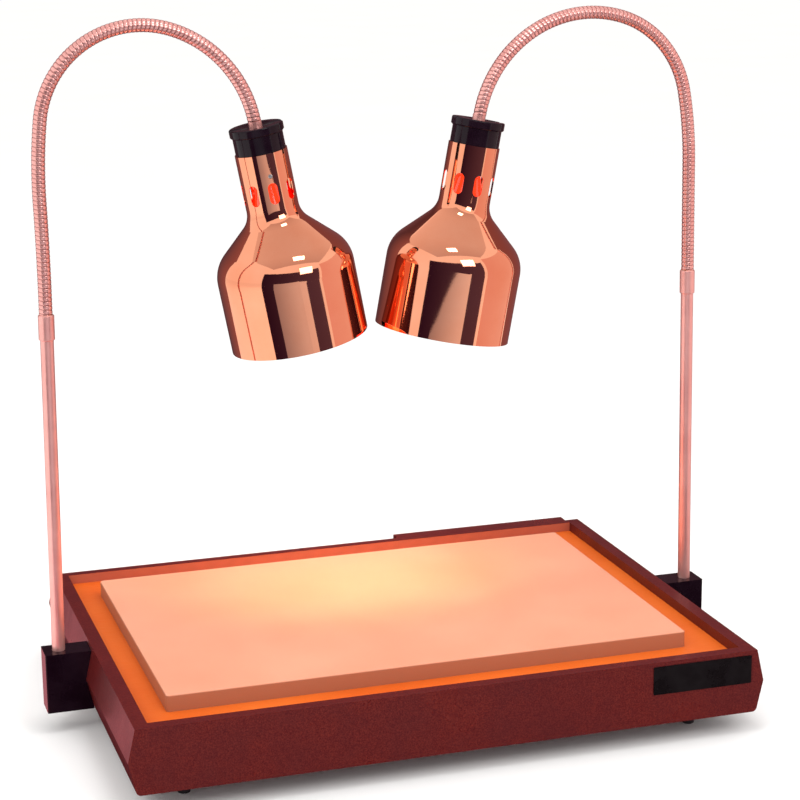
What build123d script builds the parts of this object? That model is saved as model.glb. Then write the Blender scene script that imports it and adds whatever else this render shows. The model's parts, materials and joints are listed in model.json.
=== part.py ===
from build123d import *
import os
from math import atan2, cos, degrees, radians, sin, tan

os.makedirs("parts", exist_ok=True)

# A twin heat lamp carving warmer.  Millimetres, +X to the user's right, +Y to the back, +Z up,
# Z = 0 on the counter.  X = 0 is the middle of the base; Y = 0 is the middle of the whole outline.

# ---- base cabinet -------------------------------------------------------------------------
BASE_WIDTH = 716.0          # over the rim, left to right
BASE_DEPTH = 537.0          # over the rim, front to back
BASE_HEIGHT = 74.5          # bottom edge to rim
LEG = 25.0                  # counter to the bottom edge of the base
SHEET = 1.5                 # folded steel sheet
SIDE_RIM = 16.0
FRONT_RIM = 14.5
BACK_RIM = 11.0
BULGE = 8.5                 # how far the side panels' crease stands out
TRAY_DEPTH = 12.0           # rim to tray floor
BOTTOM_FLANGE = 18.5
CORNER_RADIUS = 6.0         # bottom corners of the skirt

BOTTOM = LEG
RIM = BOTTOM + BASE_HEIGHT
CREASE = (BOTTOM + RIM) / 2
FLOOR = RIM - TRAY_DEPTH
HALF_W = BASE_WIDTH / 2
HALF_D = BASE_DEPTH / 2
SLOPE = BULGE / (RIM - CREASE)
FACET_TILT = degrees(atan2(BULGE, RIM - CREASE))

# ---- cutting board ------------------------------------------------------------------------
BOARD_WIDTH = 609.6         # 24 in
BOARD_DEPTH = 406.4         # 16 in
BOARD_THICK = 19.0
BOARD_SHIFT = -6.0          # it lies a little left of centre
BOARD_CORNER = 4.0
BOARD_EDGE = 1.5

# ---- heating parts under the tray -----------------------------------------------------------
BLANKET = (580.0, 400.0, 3.0)
INSULATION = (600.0, 400.0)
PAN_SHEET = 1.2
PAN_TOP = BOTTOM + SHEET + PAN_SHEET

# ---- feet ---------------------------------------------------------------------------------
FOOT_X = 298.0
FOOT_Y = 217.0
FOOT_TOP_RADIUS = 10.0
FOOT_BOTTOM_RADIUS = 6.7
FOOT_RECESS = 13.0          # depth of the recess for the foot's screw head
FOOT_RECESS_RADIUS = 4.4

# ---- arms ---------------------------------------------------------------------------------
ARM_Y = 5.0                 # the posts stand this far behind the middle of the base
BRACKET_REACH = 412.0       # outer face of the bracket from the middle
BRACKET_DEPTH = 34.5
BRACKET_BOTTOM = 25.5
BRACKET_TOP = 96.0
POST_X = 394.0              # post axis at the bracket's top
POST_RADIUS = 7.5
POST_WALL = 1.2
POST_SOCKET = 58.0          # depth of the post in its bracket
LEAN = 0.7                  # both posts lean inwards, degrees
POST_TOP = 377.0            # heights along the post axis from the bracket's top
COLLAR_BOTTOM = 364.0
COLLAR_TOP = 392.8
COLLAR_RADIUS = 9.0
TURN_GAP = 0.05             # radial play of the ferrule that turns in the collar
NECK_START = COLLAR_TOP + 0.2
WIRE_HOLE = 4.0

# ---- screws: shank radius, length, head radius, head height ----------------------------------
PAN_SCREW = (2.0, 9.0, 3.6, 2.2)
FOOT_SCREW = (2.5, 19.0, 4.2, 3.0)
BRACKET_SCREW = (2.5, 15.0, 4.6, 3.0)
BRACKET_SCREW_Z = 81.0
BRACKET_SCREW_PITCH = 20.0
SHADE_SCREW = (1.4, 11.0, 2.5, 1.3)
COVER_SCREW = (1.5, 7.0, 3.0, 1.8)
SET_SCREW_RADIUS = 1.5
SCREW_PLAY = 0.1            # radial play of a screw in its hole

# ---- goosenecks: straight lengths, or (radius, turn in degrees), from the collar inwards ------
NECK_RADIUS = 7.6
NECK_BORE = 5.0
NECK_TAIL = 5.0             # straight ferrule between the neck and the cap
FERRULE_BORE = 3.5
SPIGOT_LENGTH = 9.0         # how far the ferrule reaches up into the neck
NECK = {
    "left": {
        "riser": [5.0, (3430.0, -2.0), (608.0, 8.4), (113.5, 61.0)],
        "crown": [(113.5, 40.0)],
        "drop": [(135.7, 42.3)],
        "tip": [(135.7, 19.0)],
    },
    "right": {
        "riser": [132.5, (488.0, 9.8), (116.9, 61.9)],
        "crown": [(139.1, 40.0)],
        "drop": [(139.1, 37.9)],
        "tip": [(139.1, 19.0)],
    },
}

# ---- lamp heads: heights along the lamp axis, zero at the bottom of the cap --------------------
CAP_HEIGHT = 29.6
CAP_RADIUS = 28.7
CAP_LIP_RADIUS = 31.0
CAP_LIP = 9.8
DISH = 2.5                  # the dished top of the cap
DISH_RADIUS = 22.0
VALLEY_RADIUS = 8.5         # trough across the cap between its two lobes
VALLEY_BEARING = 35.0
CAP_CAVITY = (25.5, 20.0)   # radius and depth of the hollow under the cap
NIPPLE_RADIUS = 4.9
NIPPLE_BORE = 3.2
NUT = (9.0, 16.0, 4.0)      # radius over corners, height on the lamp axis, thickness
SHADE_LENGTH = 222.0
SHADE_NECK_RADIUS = 30.0
SHADE_MOUTH_RADIUS = 79.2
SHADE_NECK = 65.0           # length of the straight neck
SHADE_WALL = 1.2
HOLLOW_BEND = 26.0          # radius where the neck flares out
ROUND_BEND = 42.0           # radius of the shoulder
FLARE = 46.5                # slope of the flare, degrees from the axis
SLOT_COUNT = 8
SLOT_WIDTH = 11.0
SLOT_HEIGHT = 24.0
SLOT_DEPTH = 45.0           # slot middle below the cap
LAMP_TURN = {"left": -93.6, "right": 94.9}   # bearing of each shade's screw from +X
SCREW_DEPTH = 25.0

SOCKET_RADIUS = 21.0
SOCKET_TOP = 12.0
SOCKET_LENGTH = 46.0
SHELL_RADIUS = 13.4         # inside of the brass screw shell
SHELL_WALL = 0.6
BOSS_RADIUS = 4.5           # boss of the socket that takes the shade's screw
BULB_TOP = -8.0             # contact of the bulb
BULB_CAP = 25.0             # screw base of the bulb
BULB_LENGTH = 165.0         # a five inch reflector bulb
BULB_RADIUS = 63.5
BULB_WALL = 1.2

# ---- control box behind the base -----------------------------------------------------------
BOX_LEFT = 105.0
BOX_RIGHT = 348.0
BOX_BOTTOM = 28.0
BOX_TOP = 93.0
BOX_DEPTH = 36.0
BOX_SHEET = 1.2
BOX_BACK = HALF_D + BOX_DEPTH
BOX_MIDDLE = (BOX_BOTTOM + BOX_TOP) / 2
INLET_X = 132.0
SWITCH_X = {"lamp": 175.0, "heat": 212.0}
PILOT_X = 245.0
THERMOSTAT_X = 300.0
SWITCH_BODY = (21.8, 28.4)  # width and height of a switch behind the cover
SWITCH_RIM = (25.0, 31.6)
SWITCH_WELL = (17.0, 26.6)
ROCKER_PIN = 1.5
INLET_BODY = (27.6, 20.0)
INLET_RIM = (34.0, 26.0)
INLET_WELL = (24.4, 16.4)
WELL_DEPTH = 16.0
CASE_DEPTH = 22.0           # how far the switches and the inlet reach in behind the cover
PILOT_RADIUS = 4.9
THERMOSTAT_BODY = (34.0, 34.0)
BUSH_RADIUS = 4.5           # threaded bush of the thermostat
SHAFT_RADIUS = 3.0
BEZEL = 2.0                 # how far the fittings' rims stand off the cover
ROCKER_TILT = 10.0
KNOB_RADIUS = 18.0
KNOB_LENGTH = 16.0
KNOB_GAP = 1.5
KNOB_RIBS = 24
KNOB_END = BOX_BACK + KNOB_GAP + KNOB_LENGTH

# ---- nameplate ----------------------------------------------------------------------------
PLATE_X = 290.0
PLATE_Z = 77.8
PLATE_SIZE = (121.0, 33.0, 1.0)

ORIGIN_Y = (KNOB_END - HALF_D - PLATE_SIZE[2]) / 2   # middle of the outline, behind the base's


def save(name, shape):
    """Move a part from the base's middle to the object's origin and write it."""
    export_step(Pos(0, -ORIGIN_Y, 0) * shape, f"parts/{name}.step")


def block(x, y, z):
    """A box between two values of x, of y and of z."""
    size = [high - low for low, high in (x, y, z)]
    return Pos(*[(low + high) / 2 for low, high in (x, y, z)]) * Box(*size)


def group(shapes):
    """Several separate solids as one part."""
    return Compound([solid for shape in shapes for solid in shape.solids()])


def rod(radius, low, high):
    """A cylinder on the Z axis."""
    return Pos(0, 0, (low + high) / 2) * Cylinder(radius, high - low)


def rear_rod(x, z, radius, front, back):
    """A cylinder along Y."""
    return Pos(x, (front + back) / 2, z) * Rot(90, 0, 0) * Cylinder(radius, back - front)


def prism_xz(points, y_low, y_high):
    """A polygon drawn in X and Z, carried along Y."""
    face = Plane.XZ * make_face(Polyline(*points, close=True))
    return Pos(0, y_high, 0) * extrude(face, y_high - y_low)


def prism_yz(points, x_low, x_high):
    """A polygon drawn in Y and Z, carried along X."""
    face = Plane.YZ * make_face(Polyline(*points, close=True))
    return Pos(x_low, 0, 0) * extrude(face, x_high - x_low)


# ---- base cabinet -------------------------------------------------------------------------
def skirt_x(z):
    """Outer face of the creased side panel at a height."""
    return HALF_W + SLOPE * (RIM - CREASE - abs(z - CREASE))


def rim_wedge(rim, side):
    """The ground that the front (side -1) or back (side 1) panel keeps, up to its mitred corners."""
    inner = HALF_D - BOTTOM_FLANGE
    inset = BOTTOM_FLANGE * SIDE_RIM / rim
    corners = [(-HALF_W, side * HALF_D), (HALF_W, side * HALF_D),
               (HALF_W - inset, side * inner), (inset - HALF_W, side * inner)]
    return extrude(make_face(Polyline(*corners, close=True)), RIM + 1)


def end_plate(side):
    """Flat face of the front or back panel, as wide as the creased sides, with rounded lower corners."""
    outline = make_face(Polyline((-HALF_W, BOTTOM), (HALF_W, BOTTOM), (HALF_W + BULGE, CREASE),
                                 (HALF_W, RIM), (-HALF_W, RIM), (-HALF_W - BULGE, CREASE), close=True))
    outline = fillet(outline.vertices().group_by(Axis.Y)[0], CORNER_RADIUS)
    plate = extrude(Plane.XZ * outline, SHEET)
    return Pos(0, HALF_D if side > 0 else SHEET - HALF_D, 0) * plate


def end_panel(rim, side):
    """Front or back panel: skirt, rim, lip down to the tray and bottom flange, mitred."""
    out, back = side * HALF_D, side * (HALF_D - SHEET)
    lip, lip_back = side * (HALF_D - rim), side * (HALF_D - rim + SHEET)
    foot = side * (HALF_D - BOTTOM_FLANGE)
    section = [(out, BOTTOM), (out, RIM), (lip, RIM), (lip, FLOOR), (lip_back, FLOOR),
               (lip_back, RIM - SHEET), (back, RIM - SHEET), (back, BOTTOM + SHEET),
               (foot, BOTTOM + SHEET), (foot, BOTTOM)]
    folded = prism_yz(section, -HALF_W, HALF_W) & rim_wedge(rim, side)
    skirt = block((-HALF_W - BULGE, HALF_W + BULGE), sorted((out, back)), (BOTTOM, RIM))
    return (folded - skirt) + end_plate(side) - pan_holes()


def corner_at(outline, x, y):
    """The corner of a flat outline at a point."""
    return outline.vertices().sort_by_distance((x, y, 0))[0]


def side_section(side):
    """Folded section of a side panel in X and Z, with its lower corner rounded."""
    inner = HALF_W - SHEET
    points = [(HALF_W, BOTTOM), (HALF_W + BULGE, CREASE), (HALF_W, RIM), (HALF_W - SIDE_RIM, RIM),
              (HALF_W - SIDE_RIM, FLOOR), (HALF_W - SIDE_RIM + SHEET, FLOOR),
              (HALF_W - SIDE_RIM + SHEET, RIM - SHEET), (inner, RIM - SHEET), (inner + BULGE, CREASE),
              (inner, BOTTOM + SHEET), (HALF_W - BOTTOM_FLANGE, BOTTOM + SHEET),
              (HALF_W - BOTTOM_FLANGE, BOTTOM)]
    outline = make_face(Polyline(*points, close=True))
    outline = fillet(corner_at(outline, HALF_W, BOTTOM), CORNER_RADIUS)
    outline = fillet(corner_at(outline, inner, BOTTOM + SHEET), CORNER_RADIUS - SHEET)
    return outline if side > 0 else mirror(outline, Plane.YZ)


def side_panel(side):
    """Left or right panel, creased along its middle, between the front and back skirts."""
    length = BASE_DEPTH - 2 * SHEET
    folded = Pos(0, length / 2, 0) * extrude(Plane.XZ * side_section(side), length)
    folded = folded - rim_wedge(FRONT_RIM, -1) - rim_wedge(BACK_RIM, 1)
    return folded - pan_holes() - bracket_screws(SCREW_PLAY).solids() - wire_passage(side)


def heated_tray():
    """Coloured metal floor that the board lies on, under the lips of the rim."""
    return block((-HALF_W + 6, HALF_W - 6), (-HALF_D + 5, HALF_D - 5), (FLOOR - SHEET, FLOOR))


def heating_blanket():
    """Flat silicone heater against the underside of the tray."""
    width, depth, thick = BLANKET
    return Pos(0, 0, FLOOR - SHEET - thick / 2) * Box(width, depth, thick)


def insulation():
    """Fibre batt that fills the cabinet under the heater."""
    top = FLOOR - SHEET - BLANKET[2]
    width, depth = INSULATION
    return block((-width / 2, width / 2), (-depth / 2, depth / 2), (PAN_TOP, top))


PAN_SCREWS = [(x, y) for x in (-200.0, 0.0, 200.0) for y in (-259.0, 259.0)]
PAN_SCREWS += [(x, y) for x in (-348.0, 348.0) for y in (-110.0, 120.0)]


def pan_holes():
    """Screw holes through the bottom flanges and the pan."""
    return [Pos(x, y, 0) * rod(PAN_SCREW[0] + SCREW_PLAY, BOTTOM - 1, PAN_TOP + 1) for x, y in PAN_SCREWS]


def foot_spots():
    return [(x, y) for x in (-FOOT_X, FOOT_X) for y in (-FOOT_Y, FOOT_Y)]


def bottom_pan():
    """Sheet that closes the cabinet from below, screwed on the flanges, with the feet's holes."""
    pan = block((-HALF_W + 5, HALF_W - 5), (-HALF_D + 5, HALF_D - 5), (PAN_TOP - PAN_SHEET, PAN_TOP))
    hole = rod(FOOT_SCREW[0] + SCREW_PLAY, BOTTOM, PAN_TOP + 1)
    screws = [Pos(x, y, 0) * hole for x, y in foot_spots()]
    return pan - pan_holes() - screws


def screw(size, play=0.0):
    """A pan head screw, or its hole: the head stands below Z = 0 and the shank runs up."""
    shank_radius, length, head_radius, head = size
    shank_radius += play
    top = rod(shank_radius, 0, length)
    button = rod(head_radius, -head, 0)
    button = fillet(button.edges().group_by(Axis.Z)[0], head * 0.45)
    cross = [Pos(0, 0, -head) * Box(*size, 1.2) for size in ((2.6, 0.7), (0.7, 2.6))]
    return top + button - cross


def pan_screws():
    return group([Pos(x, y, BOTTOM) * screw(PAN_SCREW) for x, y in PAN_SCREWS])


def foot():
    """Tapered rubber foot with a recess for its screw."""
    height = BOTTOM + SHEET
    cone = Pos(0, 0, height / 2) * Cone(FOOT_BOTTOM_RADIUS, FOOT_TOP_RADIUS, height)
    cone = fillet(cone.edges().group_by(Axis.Z)[0], 1.0)
    recess = rod(FOOT_RECESS_RADIUS, -1, FOOT_RECESS)
    return cone - recess - rod(FOOT_SCREW[0] + SCREW_PLAY, 0, height + 1)


def feet():
    return group([Pos(x, y, 0) * foot() for x, y in foot_spots()])


def foot_screws():
    return group([Pos(x, y, FOOT_RECESS) * screw(FOOT_SCREW) for x, y in foot_spots()])


def nameplate():
    """Plain black plate on the front panel."""
    width, height, thick = PLATE_SIZE
    plate = extrude(Plane.XZ * RectangleRounded(width, height, 1.5), thick)
    return Pos(PLATE_X, -HALF_D, PLATE_Z) * plate


def cutting_board():
    board = Box(BOARD_WIDTH, BOARD_DEPTH, BOARD_THICK)
    board = fillet(board.edges().filter_by(Axis.Z), BOARD_CORNER)
    board = fillet(board.edges().group_by(Axis.Z)[-1], BOARD_EDGE)
    return Pos(BOARD_SHIFT, 0, FLOOR + BOARD_THICK / 2) * board


# ---- brackets, posts and collars ------------------------------------------------------------
def arm_place(side):
    """Frame of an arm: the post axis at the bracket's top, Z up along the leaning post."""
    return Location((side * POST_X, ARM_Y, BRACKET_TOP), (0, -side * LEAN, 0))


def wire_passage(side):
    """Hole for the lamp's wires from the post through the bracket and the side panel."""
    z = BRACKET_TOP - POST_SOCKET + 8
    hole = Rot(0, 90, 0) * rod(WIRE_HOLE, HALF_W - 5, POST_X)
    return Pos(0, ARM_Y, z) * (hole if side > 0 else Rot(0, 0, 180) * hole)


def bracket(side):
    """Glossy block that follows the creased side and holds the post."""
    x_top, x_bottom = skirt_x(BRACKET_TOP), skirt_x(BRACKET_BOTTOM)
    points = [(x_top, BRACKET_TOP), (HALF_W + BULGE, CREASE), (x_bottom, BRACKET_BOTTOM),
              (BRACKET_REACH, BRACKET_BOTTOM), (BRACKET_REACH, BRACKET_TOP)]
    points = [(side * x, z) for x, z in points]
    body = prism_xz(points, ARM_Y - BRACKET_DEPTH / 2, ARM_Y + BRACKET_DEPTH / 2)
    body = fillet(body.edges().filter_by(Axis.Z), 1.5)
    bore = arm_place(side) * rod(POST_RADIUS, -POST_SOCKET, 1)
    return body - bore - bracket_screws(SCREW_PLAY).solids() - wire_passage(side)


def bracket_screws(play=0.0):
    """Two screws per bracket, square to the upper facet, with their heads inside the cabinet."""
    x = skirt_x(BRACKET_SCREW_Z) - SHEET / cos(radians(FACET_TILT))
    shapes = []
    for side in (-1, 1):
        for y in (ARM_Y - BRACKET_SCREW_PITCH / 2, ARM_Y + BRACKET_SCREW_PITCH / 2):
            place = Location((side * x, y, BRACKET_SCREW_Z), (0, side * (90 - FACET_TILT), 0))
            shapes.append(place * screw(BRACKET_SCREW, play))
    return group(shapes)


def post(side):
    tube = rod(POST_RADIUS, -POST_SOCKET, POST_TOP) - rod(POST_RADIUS - POST_WALL, -POST_SOCKET, POST_TOP)
    return arm_place(side) * tube - wire_passage(side)


def collar(side):
    """Coupling fixed on the post: the gooseneck's ferrule turns in its upper half."""
    ring = rod(COLLAR_RADIUS, COLLAR_BOTTOM, COLLAR_TOP)
    ring = chamfer(ring.edges().filter_by(GeomType.CIRCLE), 1.0)
    ring = ring - rod(POST_RADIUS, COLLAR_BOTTOM, COLLAR_TOP)
    return arm_place(side) * (ring - set_screw(SCREW_PLAY))


def set_screw(play=0.0):
    """Headless screw at the back of the collar."""
    inner = POST_RADIUS + TURN_GAP - play
    shank = rod(SET_SCREW_RADIUS + play, inner, COLLAR_RADIUS + play)
    return Pos(0, 0, COLLAR_TOP - 8) * Rot(-90, 0, 0) * shank


def collar_set_screws():
    return group([arm_place(side) * set_screw() for side in (-1, 1)])


# ---- goosenecks ---------------------------------------------------------------------------
def neck_ferrule(side):
    """Bush on the end of the gooseneck that turns in the collar."""
    bush = rod(POST_RADIUS - TURN_GAP, POST_TOP + 1, NECK_START)
    spigot = rod(NECK_BORE - 0.1, NECK_START, NECK_START + SPIGOT_LENGTH)
    bore = rod(FERRULE_BORE, POST_TOP, NECK_START + SPIGOT_LENGTH + 1)
    return arm_place(side) * (bush + spigot - bore)


def advance(place, run):
    """Follow one run of the neck from (inward, up, heading): a length, or a radius and a turn."""
    inward, up, heading = place
    now = radians(heading)
    if isinstance(run, float):
        return inward + run * sin(now), up + run * cos(now), heading
    radius, turn = run
    then = radians(heading + turn)
    bend = radius if turn > 0 else -radius
    return inward + bend * (cos(now) - cos(then)), up + bend * (sin(then) - sin(now)), heading + turn


def neck_start():
    """Where a gooseneck leaves its collar, measured inwards from the post's foot."""
    return NECK_START * sin(radians(LEAN)), BRACKET_TOP + NECK_START * cos(radians(LEAN)), LEAN


def along_neck(hand, last):
    """The start of a stretch of neck, after all the stretches before it."""
    place = neck_start()
    for name, runs in NECK[hand].items():
        if name == last:
            return place
        for run in runs:
            place = advance(place, run)
    return advance(place, NECK_TAIL)


def neck_point(side, place):
    return Vector(side * (POST_X - place[0]), ARM_Y, place[1])


def neck_stretch(hand, side, name):
    """One stretch of gooseneck as a hollow tube along its arcs."""
    place = along_neck(hand, name)
    heading = radians(place[2])
    section = Plane(neck_point(side, place), x_dir=(0, 1, 0), z_dir=(-side * sin(heading), 0, cos(heading)))
    edges = []
    for run in NECK[hand][name]:
        end = advance(place, run)
        if isinstance(run, float):
            edges.append(Line(neck_point(side, place), neck_point(side, end)))
        else:
            middle = advance(place, (run[0], run[1] / 2))
            edges.append(ThreePointArc(*[neck_point(side, p) for p in (place, middle, end)]))
        place = end
    ring = section * (Circle(NECK_RADIUS) - Circle(NECK_BORE))
    return sweep(ring, path=Wire(edges))


# ---- lamp heads ---------------------------------------------------------------------------
def lamp_place(hand, side):
    """Frame of a lamp: the bottom of its cap, Z back up along the lamp axis."""
    inward, up, heading = along_neck(hand, "lamp")
    lean = radians(heading)
    inward += CAP_HEIGHT * sin(lean)
    up += CAP_HEIGHT * cos(lean)
    tilt = side * (180 - heading)
    return Location((side * (POST_X - inward), ARM_Y, up), (0, tilt, 0)) * Rot(0, 0, LAMP_TURN[hand])


def lamp_nipple():
    """Ferrule of the gooseneck, the threaded nipple that carries the lamp, and its locknut."""
    seat = CAP_HEIGHT - DISH
    pipe = rod(NECK_RADIUS, seat, CAP_HEIGHT + NECK_TAIL) + rod(NIPPLE_RADIUS, 4.0, seat)
    pipe = pipe - rod(NIPPLE_BORE, 0, CAP_HEIGHT + 2 * NECK_TAIL)
    radius, height, thick = NUT
    nut = Pos(0, 0, height) * extrude(RegularPolygon(radius, 6), thick)
    nut = nut - rod(NIPPLE_RADIUS, height - 1, height + thick + 1)
    return group([pipe, nut])


def cap():
    """Moulded cap with a lip round its top, which is dished and leaves two raised lobes beside the neck."""
    shell = rod(CAP_RADIUS, 0, CAP_HEIGHT) + rod(CAP_LIP_RADIUS, CAP_HEIGHT - CAP_LIP, CAP_HEIGHT)
    shell = fillet(shell.edges().group_by(Axis.Z)[-1], 1.6)
    step = shell.edges().filter_by(GeomType.CIRCLE).filter_by_position(Axis.Z, 19, 21).sort_by(SortBy.RADIUS)
    shell = chamfer(step[-1:], 1.4)
    bowl_radius = (DISH_RADIUS ** 2 + DISH ** 2) / (2 * DISH)
    bowl = Pos(0, 0, CAP_HEIGHT - DISH + bowl_radius) * Sphere(bowl_radius)
    trough = Rot(90, 0, VALLEY_BEARING) * Cylinder(VALLEY_RADIUS, 3 * CAP_RADIUS)
    valley = Pos(0, 0, CAP_HEIGHT + 6.0) * trough
    cavity_radius, cavity = CAP_CAVITY
    hollow = rod(cavity_radius, -1, cavity)
    passage = rod(NIPPLE_RADIUS, 0, CAP_HEIGHT)
    return shell - bowl - valley - hollow - passage - rod(NECK_RADIUS, CAP_HEIGHT - DISH, 40)


def lamp_socket():
    """Porcelain lamp socket hung from the nipple, with a side boss for the shade's screw."""
    body = rod(SOCKET_RADIUS, SOCKET_TOP - SOCKET_LENGTH, SOCKET_TOP)
    body = fillet(body.edges().group_by(Axis.Z)[-1], 3.0)
    boss = Rot(0, 90, 0) * rod(BOSS_RADIUS, 15.0, SHADE_NECK_RADIUS - SHADE_WALL - 1)
    boss = Pos(0, 0, -SCREW_DEPTH) * boss
    well = rod(SHELL_RADIUS + SHELL_WALL, SOCKET_TOP - SOCKET_LENGTH - 1, BULB_TOP + 2)
    return (body + boss) - well - rod(NIPPLE_RADIUS, 4.0, SOCKET_TOP + 1) - shade_screw(SCREW_PLAY)


def socket_shell():
    """Brass screw shell inside the porcelain."""
    low, high = SOCKET_TOP - SOCKET_LENGTH + 1, BULB_TOP + 1
    return rod(SHELL_RADIUS + SHELL_WALL, low, high) - rod(SHELL_RADIUS, low, high)


def shade_screw(play=0.0):
    """Screw through the shade's neck into the socket's boss."""
    return Pos(SHADE_NECK_RADIUS, 0, -SCREW_DEPTH) * Rot(0, -90, 0) * screw(SHADE_SCREW, play)


def bell(inset, top, bottom):
    """Solid bell between two heights; inset shrinks it evenly to give the wall's inside."""
    neck = SHADE_NECK_RADIUS - inset
    mouth = SHADE_MOUTH_RADIUS - inset
    hollow, rounded = HOLLOW_BEND + inset, ROUND_BEND - inset
    slope = radians(FLARE)
    run = (mouth - neck - (hollow + rounded) * (1 - cos(slope))) / sin(slope)
    down = Line((neck, top), (neck, -SHADE_NECK))
    out = JernArc(down @ 1, (0, -1), hollow, FLARE)
    straight = Line(out @ 1, (out @ 1) + Vector(sin(slope), -cos(slope)) * run)
    turn = JernArc(straight @ 1, (sin(slope), -cos(slope)), rounded, -FLARE)
    side = Line(turn @ 1, (mouth, bottom))
    close = Polyline((mouth, bottom), (0, bottom), (0, top), (neck, top))
    return revolve(Plane.XZ * make_face([down, out, straight, turn, side, close]), Axis.Z)


def shade():
    """Spun copper bell with a pierced neck, clamped at its top between the cap and the socket."""
    wall = bell(0, 0, -SHADE_LENGTH) - bell(SHADE_WALL, -SHADE_WALL, -SHADE_LENGTH)
    slot = Rot(0, 90, 0) * extrude(SlotOverall(SLOT_HEIGHT, SLOT_WIDTH), SHADE_NECK_RADIUS + 5)
    cuts = [Rot(0, 0, i * 360 / SLOT_COUNT) * Pos(0, 0, -SLOT_DEPTH) * slot for i in range(SLOT_COUNT)]
    return wall - cuts - rod(SOCKET_RADIUS + 0.2, -5, 1) - shade_screw(SCREW_PLAY)


def bulb_outline(inset):
    """Solid of the reflector bulb's glass; inset shrinks it to the hollow inside."""
    collar = BULB_TOP - BULB_CAP
    face = BULB_TOP - BULB_LENGTH
    shoulder = face + 31.0
    top = Line((0, collar - inset), (SHELL_RADIUS - 0.2 - inset, collar - inset))
    throat = Spline(top @ 1, (19.0 - inset, collar - 26.0), (36.0 - inset, collar - 55.0),
                    (BULB_RADIUS - inset, shoulder), tangents=[(0.3, -1), (0, -1)])
    front = Spline(throat @ 1, (BULB_RADIUS - 13.0 - inset, face + 8.0 + inset), (0, face + inset),
                   tangents=[(0, -1), (-1, 0)])
    axis = Line((0, face + inset), (0, collar - inset))
    return revolve(Plane.XZ * make_face([top, throat, front, axis]), Axis.Z)


def bulb_glass():
    return bulb_outline(0) - bulb_outline(BULB_WALL)


def bulb_base():
    """Screw base of the bulb and its centre contact."""
    return rod(SHELL_RADIUS - 0.1, BULB_TOP - BULB_CAP, BULB_TOP) + rod(4.0, BULB_TOP, BULB_TOP + 1.2)


# ---- control box ---------------------------------------------------------------------------
def cover_screws(play=0.0):
    """Four screws that hold the cover on the box's flanges."""
    spots = [(x, z) for x in (BOX_LEFT + 6, BOX_RIGHT - 6) for z in (BOX_BOTTOM + 5, BOX_TOP - 5)]
    shapes = [Pos(x, BOX_BACK, z) * Rot(90, 0, 0) * screw(COVER_SCREW, play) for x, z in spots]
    return group(shapes)


def control_box():
    """Box folded from sheet, open at the back, with flanges for its cover."""
    rear = BOX_BACK - BOX_SHEET
    shell = block((BOX_LEFT, BOX_RIGHT), (HALF_D, rear), (BOX_BOTTOM, BOX_TOP))
    room = block((BOX_LEFT + BOX_SHEET, BOX_RIGHT - BOX_SHEET), (HALF_D + BOX_SHEET, rear - BOX_SHEET),
                 (BOX_BOTTOM + BOX_SHEET, BOX_TOP - BOX_SHEET))
    mouth = block((BOX_LEFT + 12, BOX_RIGHT - 12), (rear - 5, rear + 1), (BOX_BOTTOM + 9, BOX_TOP - 9))
    return shell - room - mouth - cover_screws(SCREW_PLAY).solids()


def fitting(x, size, front, back):
    """A box on the cover's middle line, so wide and high, between two depths from its face."""
    return Pos(x, BOX_BACK + (front + back) / 2, BOX_MIDDLE) * Box(size[0], back - front, size[1])


def cover_cutouts():
    """Holes in the cover, each the size of its fitting's body."""
    holes = [fitting(x, SWITCH_BODY, -5, 1) for x in SWITCH_X.values()]
    holes.append(fitting(INLET_X, INLET_BODY, -5, 1))
    holes.append(rear_rod(PILOT_X, BOX_MIDDLE, PILOT_RADIUS, BOX_BACK - 5, BOX_BACK + 1))
    holes.append(rear_rod(THERMOSTAT_X, BOX_MIDDLE, BUSH_RADIUS, BOX_BACK - 5, BOX_BACK + 1))
    return holes


def control_cover():
    plate = block((BOX_LEFT, BOX_RIGHT), (BOX_BACK - BOX_SHEET, BOX_BACK), (BOX_BOTTOM, BOX_TOP))
    return plate - cover_cutouts() - cover_screws(SCREW_PLAY).solids()


def rocker_pivot(x):
    return Location((x, BOX_BACK - 4.0, BOX_MIDDLE))


def switch_body(x):
    """Housing and rim of a rocker switch."""
    rim = fitting(x, SWITCH_RIM, 0, BEZEL)
    rim = fillet(rim.edges().group_by(Axis.Y)[-1], 0.8)
    case = fitting(x, SWITCH_BODY, -CASE_DEPTH, 0)
    well = fitting(x, SWITCH_WELL, -CASE_DEPTH / 2, 5)
    pin = rocker_pivot(x) * Rot(0, 90, 0) * rod(ROCKER_PIN + 0.05, -9.4, 9.4)
    tabs = [Pos(x + dx, BOX_BACK - 25.5, BOX_MIDDLE) * Box(6.4, 7.0, 0.8) for dx in (-5.0, 5.0)]
    return rim + case + tabs - well - pin


def rocker(x):
    """Rocker with a shallow valley across its middle, at rest with its upper half pressed in."""
    half, low, valley = 11.0, -3.0, 5.0
    edge = valley + half * tan(radians(ROCKER_TILT))
    body = prism_yz([(low, -half), (edge, -half), (valley, 0), (edge, half), (low, half)], -8.2, 8.2)
    body = fillet(body.edges().filter_by(Axis.X).group_by(Axis.Y)[-1], 0.8)
    pin = Rot(0, 90, 0) * rod(ROCKER_PIN, -9.3, 9.3)
    return rocker_pivot(x) * Rot(ROCKER_TILT, 0, 0) * (body + pin)


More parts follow.
